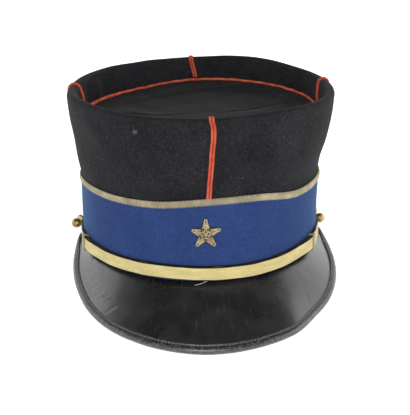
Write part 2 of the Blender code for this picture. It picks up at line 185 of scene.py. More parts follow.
def soften(t):
    """A smooth step from 0 to 1."""
    t = max(0.0, min(1.0, t))
    return t * t * (3 - 2 * t)


def outward(deg):
    t = radians(deg)
    return Vector((HALF_LENGTH * cos(t), HALF_WIDTH * sin(t), 0.0)).normalized()


def rim_z(deg):
    return around(RIM_HEIGHT, deg)


def roll_radius(deg):
    return around(RIM_WIDE, deg) / 2


def edge_z(deg):
    """Height of the sunk top's edge."""
    return around(TOP_EDGE, deg)


def edge_in(deg):
    """How far in from the crown's side the doubled wall stands where it meets the sunk top."""
    return around(TOP_INSET, deg)


def braid_z(deg):
    return around(BRAID_LINE, deg)


def side(deg, z, out=0.0):
    """Point on the crown's outer face at this turn and height, moved out."""
    t = radians(deg)
    share = z / rim_z(deg)
    mix = 0.5 + 0.5 * cos(t)
    flare = (between(FLARE, "share", "left", share) * (1 - mix)
             + between(FLARE, "share", "right", share) * mix)
    plan = around(RIM_PLAN, deg)
    x = (HALF_WIDTH + (TOP_HALF_WIDTH * plan - HALF_WIDTH) * flare) * cos(t) + TOP_SHIFT_X * flare
    y = (HALF_LENGTH + (TOP_HALF_LENGTH * plan - HALF_LENGTH) * flare) * sin(t) + TOP_SHIFT_Y * flare
    return Vector((x, y, z)) + outward(deg) * out


def ripple(deg, z):
    """How far the worn cloth stands in or out of its true shape."""
    t = radians(deg)
    share = max(0.0, min(1.0, z / rim_z(deg)))
    broad = uneven(cos(t) * 2.3, sin(t) * 2.3, z / 34.0)
    close = uneven(cos(t) * 8.0 + 5.0, sin(t) * 8.0, z / 11.0)
    return (0.10 + 0.60 * share ** 2) * (broad + 0.30 * close)


def wall(deg, z, out=0.0):
    return side(deg, z, out + ripple(deg, z))


def rolled(deg, turn, out=0.0):
    """Point on the soft roll at the crown's rim: turn runs from its outer side over to its inner."""
    high = rim_z(deg)
    radius = roll_radius(deg)
    n = outward(deg)
    direction = n * cos(turn) + UP * sin(turn)
    lump = noise.noise(n * 5.0 + Vector((0.0, 0.0, turn * 0.5)))
    middle = side(deg, high - radius, ripple(deg, high - radius) - radius)
    return middle + direction * (radius * (1 + 0.10 * sin(turn) * lump) + out), direction


def recess_wall(deg, share, out=0.0):
    """Point on the doubled wall between the rim's inner side and the sunk top."""
    n = outward(deg)
    brow, _ = rolled(deg, pi)
    foot = side(deg, edge_z(deg), 0.3 * ripple(deg, edge_z(deg)) - edge_in(deg))
    puff = 0.9 + 0.6 * noise.noise(n * 4.0 + UP * (share * 1.5)) + 0.9 * max(0.0, -n.x) ** 4
    puff += 2.6 * exp(-((deg - 152.0) / 4.0) ** 2) - 1.6 * exp(-((deg - 161.0) / 3.0) ** 2)
    return brow + (foot - brow) * share - n * (puff * sin(pi * share) ** 0.8 + out), -n


# The cap stands on its peak and the back of its crown: the record's mount face gives the lean
mount = frame["record"]["mounts"][0]
turned = Matrix.Rotation(-asin(-mount["axis"][1]), 3, "X")
seat = Vector(mount["pos_m"]) * 1000 - turned @ Vector((0.0, HALF_LENGTH - WALL / 2, 0.0))


def to_row(point):
    return (turned @ point + seat) * 0.001


# Finishes
class Wire:
    """A socket in a finish's working, so that a sum on it adds its Math nodes."""

    def __init__(self, finish, socket):
        self.finish = finish
        self.socket = socket

    def sum(self, kind, first, second):
        return self.finish.add("ShaderNodeMath", dict(operation=kind), {0: first, 1: second})

    def __add__(self, other):
        return self.sum("ADD", self, other)

    def __radd__(self, other):
        return self.sum("ADD", other, self)

    def __sub__(self, other):
        return self.sum("SUBTRACT", self, other)

    def __rsub__(self, other):
        return self.sum("SUBTRACT", other, self)

    def __mul__(self, other):
        return self.sum("MULTIPLY", self, other)

    def __rmul__(self, other):
        return self.sum("MULTIPLY", other, self)

    def __truediv__(self, other):
        return self.sum("DIVIDE", self, other)

    def least(self, other):
        return self.sum("MINIMUM", self, other)

    def wave(self):
        """0 to 1 and back, once for each whole number."""
        return 0.5 + 0.5 * self.finish.add("ShaderNodeMath", dict(operation="COSINE"), {0: self * tau})

    def size(self):
        return self.finish.add("ShaderNodeMath", dict(operation="ABSOLUTE"), {0: self})

    def step(self, low, high):
        """A smooth step from 0 at low to 1 at high."""
        return self.finish.add("ShaderNodeMapRange", dict(interpolation_type="SMOOTHSTEP"),
                               {"Value": self, "From Min": low, "From Max": high})


class Finish:
    """One material. Its varying values are worked out here, and even ones are set on the shader."""

    def __init__(self, name, **even):
        self.look = bpy.data.materials.new(name)
        self.look.use_nodes = True
        self.tree = self.look.node_tree
        self.shader = self.tree.nodes["Principled BSDF"]
        for socket, value in even.items():
            self.shader.inputs[socket.replace("_", " ")].default_value = value

    def add(self, kind, settings, sockets, out=0):
        node = self.tree.nodes.new(kind)
        for name, value in settings.items():
            if name == "stops":
                while len(node.color_ramp.elements) < len(value):
                    node.color_ramp.elements.new(0.5)
                for element, (position, colour) in zip(node.color_ramp.elements, value):
                    element.position = position
                    element.color = (*colour, 1.0)
            else:
                setattr(node, name, value)
        for name, value in sockets.items():
            if isinstance(value, Wire):
                self.tree.links.new(value.socket, node.inputs[name])
            else:
                node.inputs[name].default_value = value
        return Wire(self, node.outputs[out])

    def feed(self, **values):
        """Join what varies over the surface to the shader."""
        for socket, value in values.items():
            self.tree.links.new(value.socket, self.shader.inputs[socket.replace("_", " ")])

    def place(self, stretch=(1.0, 1.0, 1.0)):
        """Millimetres in the row frame."""
        spot = self.add("ShaderNodeTexCoord", {}, {}, "Object")
        return self.add("ShaderNodeVectorMath", dict(operation="MULTIPLY"),
                        {0: spot, 1: tuple(1000.0 * s for s in stretch)})

    def lay(self):
        """Millimetres along and across the piece."""
        spot = self.add("ShaderNodeUVMap", dict(uv_map="lay"), {})
        parts = self.add("ShaderNodeSeparateXYZ", {}, {0: spot})
        return parts, Wire(self, parts.socket.node.outputs[1])

    def grain(self, size, detail=2.0, rough=0.5, where=None):
        """Soft noise with marks of about this size."""
        return self.add("ShaderNodeTexNoise", {}, {"Vector": where or self.place(), "Scale": 1.0 / size,
                                                   "Detail": detail, "Roughness": rough})

    def flecks(self, size, where=None):
        """Distance from the nearest of scattered points, in cells."""
        return self.add("ShaderNodeTexVoronoi", {}, {"Vector": where or self.place(), "Scale": 1.0 / size})

    def spot(self, along, across):
        return self.add("ShaderNodeCombineXYZ", {}, {0: along, 1: across})

    def mix(self, share, first, second):
        """Colour between two others."""
        values = {0: share}
        for socket, colour in ((6, first), (7, second)):
            values[socket] = colour if isinstance(colour, Wire) else (*colour, 1.0)
        return self.add("ShaderNodeMix", dict(data_type="RGBA"), values, 2)

    def relief(self, height, deep, first=None):
        """A bump of this depth in millimetres."""
        values = {"Height": height, "Distance": deep * 0.001, "Strength": 1.0}
        if first is not None:
            values["Normal"] = first
        return self.add("ShaderNodeBump", {}, values)


def felt(name, dark, light, lint, nap=0.10, lint_share=0.30, **even):
    """Fulled wool: a soft broken nap, faded in broad patches, with a little lint."""
    finish = Finish(name, **even)
    broad = finish.grain(26.0, 3.0)
    fibre = finish.grain(0.55, 4.0, 0.7)
    weave = finish.grain(1.6, 3.0, 0.6)
    shade = (0.25 * broad + 0.40 * weave + 0.35 * fibre).step(0.36, 0.66)
    cloth = finish.mix(shade, dark, light)
    fleck = (1 - finish.flecks(1.5).step(0.06, 0.16)) * finish.grain(7.0).step(0.42, 0.60)
    finish.feed(Base_Color=finish.mix(fleck * lint_share, cloth, lint),
                Roughness=0.88 + 0.10 * fibre,
                Normal=finish.relief(fibre, nap, finish.relief(weave, nap * 1.6)))
    return finish.look


def soutache():
    """Red worsted braid, plaited over two cords, with painted shade between its plait turns and in the
    groove between its cords.
    """
    finish = Finish("red soutache", Specular_IOR_Level=0.15)
    along, across = finish.lay()
    plait = (along / PLAIT_PITCH + across.size() * PLAIT_SLANT).wave()
    fibre = finish.grain(0.35, 3.0, 0.6)
    # painted shade: the groove down the middle between the two cords is darkened in colour
    painted_groove_shade = 1 - across.size().step(0.05, 0.42)
    worn = finish.grain(5.0, 3.0).step(0.42, 0.66)
    # painted shade: the red darkens between the plait's turns, in step with their relief
    red = plait.step(0.15, 0.85) * 0.75 + fibre * 0.3
    red = finish.mix(red, (0.150, 0.016, 0.010), (0.640, 0.096, 0.046))
    red = finish.mix(worn * 0.45, red, (0.620, 0.150, 0.085))
    finish.feed(Base_Color=finish.mix(painted_groove_shade * 0.85, red, (0.110, 0.010, 0.008)),
                Roughness=0.72 + 0.2 * fibre,
                Normal=finish.relief(plait + 0.5 * fibre, 0.20))
    return finish.look


def twisted_cord():
    """Red cord of two twisted plies."""
    finish = Finish("red cord", Specular_IOR_Level=0.15)
    fibre = finish.grain(0.35, 3.0, 0.6)
    worn = finish.grain(6.0, 3.0).step(0.40, 0.64)
    red = finish.mix(fibre, (0.200, 0.028, 0.016), (0.560, 0.088, 0.048))
    finish.feed(Base_Color=finish.mix(worn * 0.5, red, (0.650, 0.150, 0.085)),
                Roughness=0.74 + 0.18 * fibre,
                Normal=finish.relief(fibre, 0.10))
    return finish.look


def metal_thread(name, dull, bright, pitch, metal, wear=0.4, patch_size=3.5):
    """Metal wound on thread: fine turns across each strand, tarnished in patches, with a painted highlight
    on each turn and painted shade between turns.
    """
    finish = Finish(name)
    along, across = finish.lay()
    turns = (along / pitch + across * 0.3).wave()
    patch = finish.grain(patch_size, 3.0).step(0.36, 0.66)
    speck = finish.grain(0.5, 2.0)
    # painted highlight and shade: the colour lightens on each turn's crest and darkens between turns; patch
    # is real tarnish, speck random tone
    colour = finish.mix((turns * 0.5 + patch * 0.5) * (1 - wear) + speck * wear, dull, bright)
    finish.feed(Base_Color=colour,
                Metallic=metal * (0.4 + 0.6 * patch),
                Roughness=0.62 - 0.24 * turns * patch,
                Normal=finish.relief(turns + 0.3 * speck, 0.06))
    return finish.look


def plain_thread(name, dark, light, rough=0.8):
    finish = Finish(name)
    fibre = finish.grain(0.25, 3.0, 0.6)
    finish.feed(Base_Color=finish.mix(fibre, dark, light),
                Roughness=rough - 0.1 * fibre,
                Normal=finish.relief(fibre, 0.05))
    return finish.look


def patent_leather():
    """Black lacquered leather: a soft even shine with fine scratches, pits and a few short creases."""
    finish = Finish("black patent leather", Coat_Weight=0.8, Coat_Roughness=0.22, IOR=1.5)
    along, across = finish.lay()
    haze = finish.grain(22.0, 4.0).step(0.35, 0.70)
    streak = finish.grain(1.0, 3.0, 0.6, finish.spot(along / 14.0, across / 0.9))
    cross = finish.grain(1.0, 3.0, 0.6, finish.spot(along / 0.7, across / 16.0))
    fine = 0.6 * streak.step(0.62, 0.74) + cross.step(0.59, 0.70)
    pit = 1 - finish.flecks(3.1).step(0.03, 0.09)
    pit = pit * finish.grain(8.0).step(0.50, 0.62)
    grain = finish.grain(0.9, 3.0, 0.6)
    wrinkle = finish.grain(1.0, 3.0, 0.65, finish.spot(along / 1.8, across / 7.0))
    black = finish.mix(haze, (0.0055, 0.0058, 0.0065), (0.0120, 0.0120, 0.0125))
    black = finish.mix(fine * 0.28, black, (0.110, 0.108, 0.100))
    finish.feed(Base_Color=finish.mix(pit * 0.6, black, (0.150, 0.140, 0.120)),
                Roughness=(0.26 + 0.12 * haze + 0.16 * fine).least(0.6),
                Normal=finish.relief(0.8 * grain + 0.7 * wrinkle - 0.5 * fine - pit, 0.045))
    return finish.look


def worn_leather(name, dark, worn, wear_low, wear_high, rough=0.42, pore=0.05, wear_size=3.2, **even):
    """Black leather with pores, rubbed grey where it stands proud."""
    finish = Finish(name, **{"Coat_Weight": 0.25, "Coat_Roughness": 0.3, **even})
    rub = finish.grain(wear_size, 4.0, 0.65).step(wear_low, wear_high)
    pores = finish.grain(0.7, 3.0, 0.6)
    finish.feed(Base_Color=finish.mix(rub, dark, worn),
                Roughness=rough + 0.22 * rub - 0.08 * pores,
                Normal=finish.relief(pores, pore))
    return finish.look


def gold_lace():
    """Flat strap lace: lengthwise ridges crossed by fine threads, tarnished in long patches, with painted
    shade in the grooves between the ridges.
    """
    finish = Finish("gold strap lace", Sheen_Weight=0.1)
    along, across = finish.lay()
    ridges = (across / RIB_PITCH).wave()
    threads = (along / 0.55 + across * 0.25).wave()
    patch = finish.grain(1.0, 4.0, 0.6, finish.spot(along / 16.0, across / 4.0)).step(0.34, 0.68)
    small = finish.grain(1.1, 3.0, 0.6)
    gold = finish.mix(patch, (0.490, 0.410, 0.162), (0.640, 0.555, 0.255))
    # painted shade: the gold darkens in the grooves between the ridges, in step with their relief; the
    # thread lines are the lace's own colour
    gold = finish.mix(ridges * 0.35 + threads * 0.15, gold, (0.340, 0.250, 0.085))
    gold = finish.mix(small.step(0.52, 0.72) * 0.18, gold, (0.780, 0.700, 0.440))
    finish.feed(Base_Color=gold,
                Metallic=0.30 * patch,
                Roughness=0.56 - 0.12 * patch + 0.10 * small,
                Normal=finish.relief(1 - ridges + 0.5 * threads, 0.10))
    return finish.look


def old_brass():
    """Brass with a brown skin in its patches."""
    finish = Finish("old brass", Metallic=1.0)
    skin = finish.grain(2.4, 4.0, 0.6).step(0.38, 0.68)
    fine = finish.grain(0.5, 3.0)
    finish.feed(Base_Color=finish.mix(skin, (0.210, 0.150, 0.050), (0.600, 0.470, 0.190)),
                Roughness=0.42 - 0.16 * skin + 0.08 * fine,
                Normal=finish.relief(fine, 0.02))
    return finish.look


WOOL = felt("black wool", (0.0040, 0.0041, 0.0052), (0.0200, 0.0203, 0.0222), (0.11, 0.11, 0.11),
            Sheen_Weight=0.02, Sheen_Roughness=0.4, Specular_IOR_Level=0.12)
WOOL_INSIDE = felt("black wool inside", (0.020, 0.020, 0.022), (0.042, 0.041, 0.040), (0.22, 0.22, 0.21),
                   nap=0.18, lint_share=0.15)
BLUE = felt("blue wool", (0.0122, 0.0278, 0.0970), (0.0240, 0.0478, 0.1530), (0.13, 0.19, 0.34),
            lint_share=0.22, Sheen_Weight=0.20, Sheen_Roughness=0.35, Sheen_Tint=(0.30, 0.62, 1.0, 1.0),
            Specular_IOR_Level=0.12)
RED = soutache()
RED_CORD = twisted_cord()
# BRAID and BULLION: dull and bright are tarnished and clean metal, and also the painted shade and painted
# highlight of each turn
BRAID = metal_thread("tarnished braid thread", (0.100, 0.078, 0.046), (0.570, 0.495, 0.315), 0.7, 0.45,
                     patch_size=11.0)
BRAID_BASE = plain_thread("braid ground", (0.030, 0.024, 0.018), (0.090, 0.075, 0.050))
BULLION = metal_thread("gold bullion", (0.190, 0.120, 0.042), (0.820, 0.700, 0.420), 0.5, 0.80, 0.30)
DARK_THREAD = plain_thread("dark thread", (0.010, 0.009, 0.010), (0.035, 0.030, 0.026))
PATENT = patent_leather()
UNDER_PEAK = worn_leather("peak lining leather", (0.014, 0.013, 0.012), (0.040, 0.034, 0.028),
                          0.48, 0.74, rough=0.55)
BINDING = worn_leather("edging leather", (0.006, 0.006, 0.007), (0.062, 0.062, 0.062), 0.46, 0.62,
                       rough=0.40, pore=0.12, wear_size=1.7, Coat_Weight=0.6, Coat_Roughness=0.16)
STITCH = plain_thread("edging stitches", (0.016, 0.016, 0.017), (0.160, 0.160, 0.160), 0.40)
STRAP_LEATHER = worn_leather("strap leather", (0.005, 0.005, 0.005), (0.016, 0.013, 0.010), 0.50, 0.72,
                             rough=0.7, Coat_Weight=0.0, Specular_IOR_Level=0.2)
LACE = gold_lace()
OLD_LACE = plain_thread("tarnished lace", (0.150, 0.105, 0.040), (0.420, 0.330, 0.140), 0.6)
BRASS = old_brass()
LINT = plain_thread("pale lint", (0.08, 0.08, 0.08), (0.20, 0.20, 0.19))
PALE_THREAD = plain_thread("pale thread", (0.34, 0.34, 0.33), (0.60, 0.60, 0.58))


# Meshes
def add_object(name, data):
    thing = bpy.data.objects.new(name, data)
    bpy.context.scene.collection.objects.link(thing)
    return thing


def lengths(points, ring=False):
    """Distance along a row of points to each of them, and back to the first for a ring."""
    row = list(points) + ([points[0]] if ring else [])
    total = [0.0]
    for a, b in zip(row, row[1:]):
        total.append(total[-1] + (b - a).length)
    return total


def evenly(point_at, first, last, pitch, fine=0.25):
    """Values from first to last whose points lie a pitch apart."""
    count = int(abs(last - first) / fine)
    values = [first + (last - first) * k / count for k in range(count + 1)]
    run = lengths([point_at(v) for v in values])
    steps = max(1, round(run[-1] / pitch))
    found, i = [], 0
    for k in range(steps + 1):
        goal = run[-1] * k / steps
        while i < count - 1 and run[i + 1] < goal:
            i += 1
        share = (goal - run[i]) / (run[i + 1] - run[i])
        found.append(values[i] + (values[i + 1] - values[i]) * share)
    return found


def circle(middle, across, raised, radius, sides):
    """Points evenly round a circle."""
    return [middle + (across * cos(tau * k / sides) + raised * sin(tau * k / sides)) * radius
            for k in range(sides)]


class Work:
    """Corners and faces gathered for one piece, in the cap's own frame."""

    def __init__(self):
        self.corners = []
        self.faces = []
        self.lay = []
        self.pick = []

    def loft(self, sections, along=None, across=None, ring=False, ends=True, pick=0):
        """Skin a row of matching closed sections. ring joins the last to the first."""
        count = len(sections[0])
        first = len(self.corners)
        rows = len(sections) if ring else len(sections) - 1
        along = along or list(range(len(sections) + 1))
        across = across or list(range(count + 1))
        for section in sections:
            self.corners.extend(section)
        for i in range(rows):
            a = first + i * count
            b = first + ((i + 1) % len(sections)) * count
            for k in range(count):
                m = (k + 1) % count
                self.faces.append((a + k, a + m, b + m, b + k))
                self.lay.extend(((along[i], across[k]), (along[i], across[k + 1]),
                                 (along[i + 1], across[k + 1]), (along[i + 1], across[k])))
                self.pick.append(pick(i, k) if callable(pick) else pick)
        if ends and not ring:
            for i in (0, len(sections) - 1):
                self.faces.append(tuple(range(first + i * count, first + (i + 1) * count)))
                self.lay.extend((along[i], across[k]) for k in range(count))
                self.pick.append(pick(min(i, rows - 1), 0) if callable(pick) else pick)

    def strand(self, path, radii, sides=7, pick=0, start=0.0):
        """A thread along points that each come with the direction it lies away from."""
        sections = []
        for i, (point, away) in enumerate(path):
            ahead = path[min(i + 1, len(path) - 1)][0] - path[max(i - 1, 0)][0]
            across = ahead.cross(away).normalized()
            raised = across.cross(ahead).normalized()
            sections.append(circle(point, across, raised, radii[i], sides))
        run = [start + d for d in lengths([point for point, _ in path])]
        self.loft(sections, run, [tau * max(radii) * k / sides for k in range(sides + 1)], pick=pick)

    def make(self, name, finishes, slot, sharp=50.0, instead=True):
        """Finish the piece. Unless it is an addition, it stands for the solid named by slot, which is
        hidden.
        """
        mesh = bpy.data.meshes.new(name)
        mesh.from_pydata([to_row(c) for c in self.corners], [], self.faces)
        layer = mesh.uv_layers.new(name="lay")
        layer.data.foreach_set("uv", [value for pair in self.lay for value in pair])
        for finish in finishes:
            mesh.materials.append(finish)
        mesh.polygons.foreach_set("material_index", self.pick)
        work = bmesh.new()
        work.from_mesh(mesh)
        bmesh.ops.recalc_face_normals(work, faces=work.faces)
        work.to_mesh(mesh)
        work.free()
        mesh.polygons.foreach_set("use_smooth", [True] * len(mesh.polygons))
        mesh.set_sharp_from_angle(angle=radians(sharp))
        piece = add_object(name, mesh)
        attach(piece, "root")
        if instead:
            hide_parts(slot)


def turns(count):
    return [360.0 * k / count for k in range(count)]


def ring_wall(name, section_at, finishes, slot, pick=0):
    """A piece made of one section carried all the way round the crown."""
    sections = [section_at(d) for d in turns(ROUND)]
    work = Work()
    work.loft(sections, lengths([s[0] for s in sections], True), lengths(sections[0], True), ring=True,
              pick=pick)
    work.make(name, finishes, slot)


# Crown: outer wall, soft rolled rim, doubled recess wall, ledge and inner face
OUTER_ROWS = 44
ROLL_ROWS = 14
RECESS_ROWS = 12
INNER_ROWS = 14


def crown_section(deg):
    top = rim_z(deg) - roll_radius(deg)
    points = [wall(deg, 0.0, -EDGE_ROUND)]
    points += [wall(deg, EDGE_ROUND + (top - EDGE_ROUND) * k / OUTER_ROWS) for k in range(OUTER_ROWS)]
    points += [rolled(deg, pi * k / ROLL_ROWS)[0] for k in range(ROLL_ROWS + 1)]
    points += [recess_wall(deg, k / RECESS_ROWS)[0] for k in range(1, RECESS_ROWS + 1)]
    ledge = edge_z(deg)
    points += [wall(deg, ledge * (1 - k / INNER_ROWS) + EDGE_ROUND * k / INNER_ROWS, -WALL)
               for k in range(INNER_ROWS + 1)]
    points.append(wall(deg, 0.0, EDGE_ROUND - WALL))
    return points


INSIDE_FROM = 1 + OUTER_ROWS + ROLL_ROWS + RECESS_ROWS


def crown():
    ring_wall("crown_cloth", crown_section, [WOOL, WOOL_INSIDE], "crown",
              lambda i, k: 1 if k >= INSIDE_FROM else 0)


# Sunk top with its oval dent and two long creases
TOP_CREASES = [
    [(-53.0, -6.0), (-28.0, -20.0), (1.0, -16.0), (38.0, 4.0), (66.0, 15.0)],
    [(-43.0, 40.0), (-34.0, 48.0), (-6.0, 62.0), (34.0, 66.0), (56.0, 48.0), (68.0, 24.0)],
]


def from_line(x, y, a, b):
    """Distance from a spot to the straight line between two points."""
    along, up = b[0] - a[0], b[1] - a[1]
    share = max(0.0, min(1.0, ((x - a[0]) * along + (y - a[1]) * up) / (along * along + up * up)))
    return sqrt((x - a[0] - share * along) ** 2 + (y - a[1] - share * up) ** 2)


LEVEL = sum(TOP_EDGE) / len(TOP_EDGE)


def top_height(x, y, deg, share):
    z = LEVEL + (edge_z(deg) - LEVEL) * min(1.0, share / 0.92) ** 2 - GAP
    t = radians(DENT["turn"])
    u = ((x - DENT["x"]) * cos(t) + (y - DENT["y"]) * sin(t)) / DENT["half_wide"]
    v = ((y - DENT["y"]) * cos(t) - (x - DENT["x"]) * sin(t)) / DENT["half_deep"]
    reach = sqrt(u * u + v * v)
    dent = DENT["depth"] * soften((1.04 - reach) / 0.35)
    crease = 0.0
    for line in TOP_CREASES:
        near = min(from_line(x, y, a, b) for a, b in zip(line, line[1:]))
        crease += 0.70 * exp(-(near / 1.8) ** 2)
    worn = 0.5 * uneven(x / 24.0, y / 24.0, 3.0) + 0.15 * uneven(x / 7.0, y / 7.0, 9.0)
    return z + (crease - dent + worn) * soften((1.0 - share) / 0.12)


TOP_RINGS = 64
TOP_REACH = 0.985


def top_cloth():
    work = Work()
    for lower in (0.0, TOP_THICK):
        edge = [side(d, edge_z(d) - GAP - lower, -TOP_TUCK) for d in turns(ROUND)]
        sections = []
        for r in range(TOP_RINGS):
            share = 1.0 - r / (TOP_RINGS - 1) * TOP_REACH
            ring = []
            for deg, far in zip(turns(ROUND), edge):
                x = TOP_SHIFT_X + (far.x - TOP_SHIFT_X) * share
                y = TOP_SHIFT_Y + (far.y - TOP_SHIFT_Y) * share
                ring.append(Vector((x, y, top_height(x, y, deg, share) - lower)))
            sections.append(ring)
        first = len(work.corners)
        work.loft(sections, ends=False, pick=1 if lower else 0)
        inner = first + (TOP_RINGS - 1) * ROUND
        work.faces.append(tuple(range(inner, inner + ROUND)))
        work.lay.extend([(0.0, 0.0)] * ROUND)
        work.pick.append(1 if lower else 0)
    under = TOP_RINGS * ROUND
    for k in range(ROUND):
        m = (k + 1) % ROUND
        work.faces.append((k, m, under + m, under + k))
        work.lay.extend([(0.0, 0.0)] * 4)
        work.pick.append(0)
    work.make("top_cloth", [WOOL, WOOL_INSIDE], "top_disc")


# Blue band
BAND_ROUND = 0.35
BAND_ROWS = 22


def band_section(deg):
    top = braid_z(deg) - BRAID_TALL / 2 + BRAID_LAP
    outer = GAP + BAND_THICK
    low = BAND_FOOT + BAND_ROUND
    points = [wall(deg, BAND_FOOT, GAP), wall(deg, BAND_FOOT, outer - BAND_ROUND)]
    points += [wall(deg, low + (top - low) * k / BAND_ROWS, outer) for k in range(BAND_ROWS + 1)]
    points += [wall(deg, top, GAP), wall(deg, top * 0.5, GAP)]
    return points


def band():
    ring_wall("band_cloth", band_section, [BLUE], "band")


# Braid: oblique metal stitches over a ground strip
BRAID_PITCH = 1.22
BRAID_SLANT = 2.0
BRAID_LEVEL = 47.0


def braid():
    work = Work()

    def ground(deg):
        z = braid_z(deg)
        half = BRAID_TALL / 2
        return [wall(deg, z - half, GAP), wall(deg, z - half * 0.9, GAP + BAND_THICK * 0.8),
                wall(deg, z, GAP + BRAID_THICK * 0.75), wall(deg, z + half * 0.9, GAP + BAND_THICK * 0.6),
                wall(deg, z + half, GAP)]

    sections = [ground(d) for d in turns(ROUND)]
    work.loft(sections, ring=True)
    chance = random.Random(11)
    for deg in evenly(lambda d: side(d, braid_z(d)), 0.0, 360.0, BRAID_PITCH)[:-1]:
        per_degree = (side(deg + 0.5, BRAID_LEVEL) - side(deg - 0.5, BRAID_LEVEL)).length
        path, radii = [], []
        loose = chance.uniform(-0.12, 0.12)
        for k in range(8):
            t = -1.0 + 2.0 * k / 7
            here = deg + (BRAID_SLANT * t / 2 + loose) / per_degree
            rise = sqrt(max(0.0, 1 - (0.94 * t) ** 2))
            z = braid_z(here) + t * (BRAID_TALL / 2 + 0.1)
            path.append((wall(here, z, GAP + 0.25 + BRAID_THICK * 0.62 * rise), outward(here)))
            radii.append(0.60 * (0.45 + 0.55 * rise) * chance.uniform(0.94, 1.05))
        work.strand(path, radii, 6, 1, chance.uniform(0, 9))
    work.make("braid_stitches", [BRAID_BASE, BRAID], "band_braid", 70.0)


# Red soutache over the rim
RISE_PITCH = 0.3
ROLL_STEPS = 24
FALL_STEPS = 38
LOBE_COLUMNS = [-1.0, -0.93, -0.78, -0.5, -0.25, -0.08, 0.0, 0.08, 0.25, 0.5, 0.78, 0.93, 1.0]


def piping(name, deg, sway, lean, node):
    start = braid_z(deg) + BRAID_TALL / 2 - BRAID_LAP
    high = rim_z(deg)
    per_degree = (side(deg + 1.0, start) - side(deg, start)).length

    def moved(z):
        return deg + between(sway, "share", "shift", z / high) / per_degree

    path = []
    rise = high - roll_radius(deg) - start
    count = int(rise / RISE_PITCH)
    for k in range(count):
        z = start + rise * k / count
        path.append((wall(moved(z), z), outward(moved(z))))
    for k in range(ROLL_STEPS):
        path.append(rolled(moved(high), pi * k / ROLL_STEPS))
    fall = 1 - (CORD + 0.6) / (high - edge_z(deg) - roll_radius(deg))
    for k in range(FALL_STEPS):
        share = k / (FALL_STEPS - 1)
        path.append(recess_wall(moved(high) + lean * share / per_degree, fall * share))
    run = lengths([point for point, _ in path])
    half = PIPING_WIDE / 2
    sections = []
    for (point, away), far in zip(path, run):
        level = UP.cross(outward(deg))
        wobble = 0.12 * uneven(far / 5.0, deg, 0.0)
        row = [point + level * (-half * 0.95) + away * 0.02]
        for column in LOBE_COLUMNS:
            lobe = sqrt(max(0.0, 1 - ((abs(column) - 0.5) / 0.56) ** 2))
            plait = 0.5 + 0.5 * cos(tau * (far / PLAIT_PITCH + abs(column) * half * PLAIT_SLANT))
            over = 0.12 + PIPING_THICK * lobe * (0.82 + 0.18 * plait)
            row.append(point + level * (half * column + wobble) + away * over)
        row.append(point + level * (half * 0.95) + away * 0.02)
        sections.append(row)
    across = [-half] + [half * c for c in LOBE_COLUMNS] + [half, half]
    work = Work()
    work.loft(sections, run, across)
    work.make(name, [RED], node, 80.0)


# Red cord in the corner of the sunk top
def cord_middle(deg):
    t = radians(deg)
    stray = uneven(cos(t) * 15, sin(t) * 15, 1.0)
    lift = uneven(cos(t) * 13, sin(t) * 13, 5.0)
    thick = cord_thick(deg)
    middle = side(deg, edge_z(deg), -(edge_in(deg) + GAP + thick + 0.35 + 0.6 * stray))
    middle.z = edge_z(deg) + thick * 0.9 + 0.35 * lift
    return middle


def cord_thick(deg):
    """The cord's radius, fuller where it bunches at the left."""
    left = exp(-((deg - 178.0) / 34.0) ** 2)
    return CORD / 2 * (0.92 + 0.60 * left + 0.08 * uneven(deg / 6.0, 0.0, 2.0))


CORD_PITCH = 0.48
CORD_SIDES = 12
PLY_PITCH = 3.0


def top_cord():
    degs = evenly(cord_middle, 0.0, 360.0, CORD_PITCH)[:-1]
    sections = []
    run = lengths([cord_middle(d) for d in degs], True)
    plies = round(run[-1] / PLY_PITCH)
    for deg, far in zip(degs, run):
        n = outward(deg)
        middle = cord_middle(deg)
        twist = tau * plies * far / run[-1] / 2
        row = []
        for k in range(CORD_SIDES):
            a = tau * k / CORD_SIDES
            radius = cord_thick(deg) * (0.80 + 0.20 * abs(cos(a - twist)))
            row.append(middle + (n * cos(a) + UP * sin(a)) * radius)
        sections.append(row)
    work = Work()
    work.loft(sections, run, [0.58 * k for k in range(CORD_SIDES + 1)], ring=True)
    work.make("top_cord", [RED_CORD], "disc_piping", 80.0)


# Peak and its edging
def peak_frame(turn):
    """Root point, level direction out, reach and slope of the peak at a turn from the front."""
    deg = turn - 90.0
    n = outward(deg)
    root = side(deg, 0.0, GAP + BAND_THICK) + Vector((0.0, 0.0, -GAP))
    reach = between(PEAK, "turn", "left" if turn < PEAK_TURN else "right", abs(turn - PEAK_TURN))
    lift = between(PEAK, "turn", "lift", abs(turn - PEAK_TURN))
    deep = PEAK_THICK + GAP + BINDING_THICK
    low, high = radians(10.0), radians(75.0)
    for _ in range(40):
        slope = (low + high) / 2
        foot = root + n * (reach * cos(slope) - deep * sin(slope))
        foot.z -= reach * sin(slope) + deep * cos(slope)
        ground = -(HALF_LENGTH - foot.y) * tan(radians(LEAN))
        if foot.z - ground > lift:
            low = slope
        else:
            high = slope
    return root, n, reach, slope


def down_slope(sheet):
    """Direction out and down along the peak."""
    _, n, _, slope = sheet
    return n * cos(slope) - UP * sin(slope)


def square_off(sheet):
    """Direction square to the peak's top."""
    _, n, _, slope = sheet
    return n * sin(slope) + UP * cos(slope)


def peak_point(sheet, share, over, reach=None):
    """Point at a share of the reach, raised square to the peak's slope."""
    root, _, full, _ = sheet
    far = full if reach is None else reach
    bulge = PEAK_BULGE * sin(pi * share) * min(1.0, full / 40.0)
    return root + down_slope(sheet) * (far * share) + square_off(sheet) * (over + bulge)


